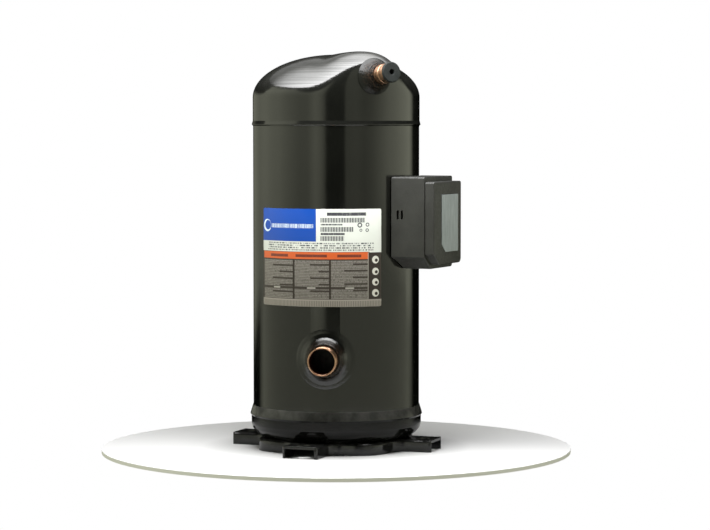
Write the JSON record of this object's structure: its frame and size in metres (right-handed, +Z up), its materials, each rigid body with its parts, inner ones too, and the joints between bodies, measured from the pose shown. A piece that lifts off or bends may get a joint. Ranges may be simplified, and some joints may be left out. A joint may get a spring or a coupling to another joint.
{
  "type": "scroll compressor",
  "caption": "Tall black hermetic scroll compressor with stamped foot plate, plugged discharge stub, open suction stub and side terminal box.",
  "frame": {"origin": "on the shell's axis, in the flat underside of the base plate, 13 mm above the surface that the flanges stand on", "axes": "+Z up the shell; the dome's raised shoulder faces -Y, the discharge stub points at -84 degrees and 6.5 degrees upwards, the terminal box at -48.9 degrees and the suction stub at -122.5 degrees from +X, and the four ears lie on the diagonals"},
  "size_m": [0.2702, 0.2828, 0.5542],
  "materials": {
    "black_paint": "gloss black enamel",
    "plate_paint": "semi-gloss black enamel",
    "copper": "drawn copper tube, slightly darkened",
    "plug_rubber": "matt dark rubber",
    "box_plastic": "finely textured moulding",
    "badge_foil": "plain silver-grey foil",
    "label_foil": "printed foil with plain colour fields",
    "cast_iron": "as cast and machined",
    "steel": "machined",
    "lamination": "stacked sheet",
    "winding": "enamelled wire",
    "cast_aluminium": "die cast",
    "bronze": "bearing bronze",
    "brass": "turned",
    "gasket": "fibre sheet",
    "phenolic": "moulded phenolic"
  },
  "bodies": {
    "root": {"top_cap": "black_paint", "shell_tube": "black_paint", "lower_cover": "black_paint", "base_plate": "plate_paint", "suction_fitting": "black_paint", "suction_stub": "copper", "suction_baffle": "steel", "discharge_fitting": "black_paint", "discharge_stub": "copper", "terminal_box_base": "box_plastic", "terminal_box_gasket": "gasket", "hermetic_terminal": "steel", "terminal_pin_1": "copper", "terminal_pin_2": "copper", "terminal_pin_3": "copper", "terminal_block": "phenolic", "ground_screw": "brass", "nameplate": "label_foil", "stator_core": "lamination", "upper_winding": "winding", "lower_winding": "winding", "overload_protector": "phenolic", "main_bearing_housing": "cast_iron", "main_bearing_bush": "bronze", "lower_bearing_bracket": "cast_iron", "lower_bearing_bush": "bronze", "thrust_washer": "bronze", "guide_bolt_1": "steel", "guide_bolt_2": "steel", "guide_bolt_3": "steel", "guide_bolt_4": "steel", "muffler_plate": "steel", "relief_valve": "brass", "valve_retainer": "steel"},
    "crank": {"crankshaft": "steel", "drive_bush": "steel", "rotor_core": "lamination", "upper_end_ring": "cast_aluminium", "lower_end_ring": "cast_aluminium", "upper_counterweight": "cast_iron", "lower_counterweight": "cast_iron", "oil_pickup": "steel"},
    "orbiter": {"orbiting_scroll": "cast_iron", "drive_bearing": "bronze"},
    "gallery_plug": {"oil_gallery_plug": "brass"},
    "oldham": {"oldham_ring": "cast_aluminium"},
    "fixed": {"fixed_scroll": "cast_iron"},
    "seal": {"floating_seal": "steel"},
    "valve": {"discharge_valve_disc": "steel"},
    "box_cover": {"terminal_box_cover": "box_plastic", "terminal_box_badge": "badge_foil"},
    "shipping_plug": {"discharge_plug": "plug_rubber"}
  },
  "joints": [
    {"name": "crank_spin", "type": "hinge", "parent": "root", "child": "crank", "pos_m": [0, 0, 0], "axis": [0, 0, 1], "continuous": true},
    {"name": "scroll_orbit", "type": "hinge", "parent": "crank", "child": "orbiter", "pos_m": [0.00565, 0, 0], "axis": [0, 0, 1], "continuous": true},
    {"name": "gallery_plug_turn", "type": "hinge", "parent": "crank", "child": "gallery_plug", "pos_m": [0.00282, 0, 0], "axis": [0, 0, 1], "continuous": true},
    {"name": "oldham_stroke", "type": "hinge", "parent": "gallery_plug", "child": "oldham", "pos_m": [0.00565, 0, 0], "axis": [0, 0, 1], "continuous": true},
    {"name": "fixed_scroll_lift", "type": "slide", "parent": "root", "child": "fixed", "axis": [0, 0, 1], "range_m": [0, 0.0006]},
    {"name": "floating_seal_lift", "type": "slide", "parent": "fixed", "child": "seal", "axis": [0, 0, 1], "range_m": [0, 0.0008]},
    {"name": "check_valve_lift", "type": "slide", "parent": "root", "child": "valve", "axis": [0, 0, 1], "range_m": [0, 0.0027]},
    {"name": "box_cover_pull", "type": "slide", "parent": "root", "child": "box_cover", "axis": [0.6574, -0.7536, 0], "range_m": [0, 0.06]},
    {"name": "discharge_plug_pull", "type": "slide", "parent": "root", "child": "shipping_plug", "axis": [0.1039, -0.9881, 0.1132], "range_m": [0, 0.035]}
  ],
  "couplings": [
    {"joint": "scroll_orbit", "follows": "crank_spin", "ratio": -1},
    {"joint": "gallery_plug_turn", "follows": "crank_spin", "ratio": -2},
    {"joint": "oldham_stroke", "follows": "crank_spin", "ratio": 1}
  ]
}
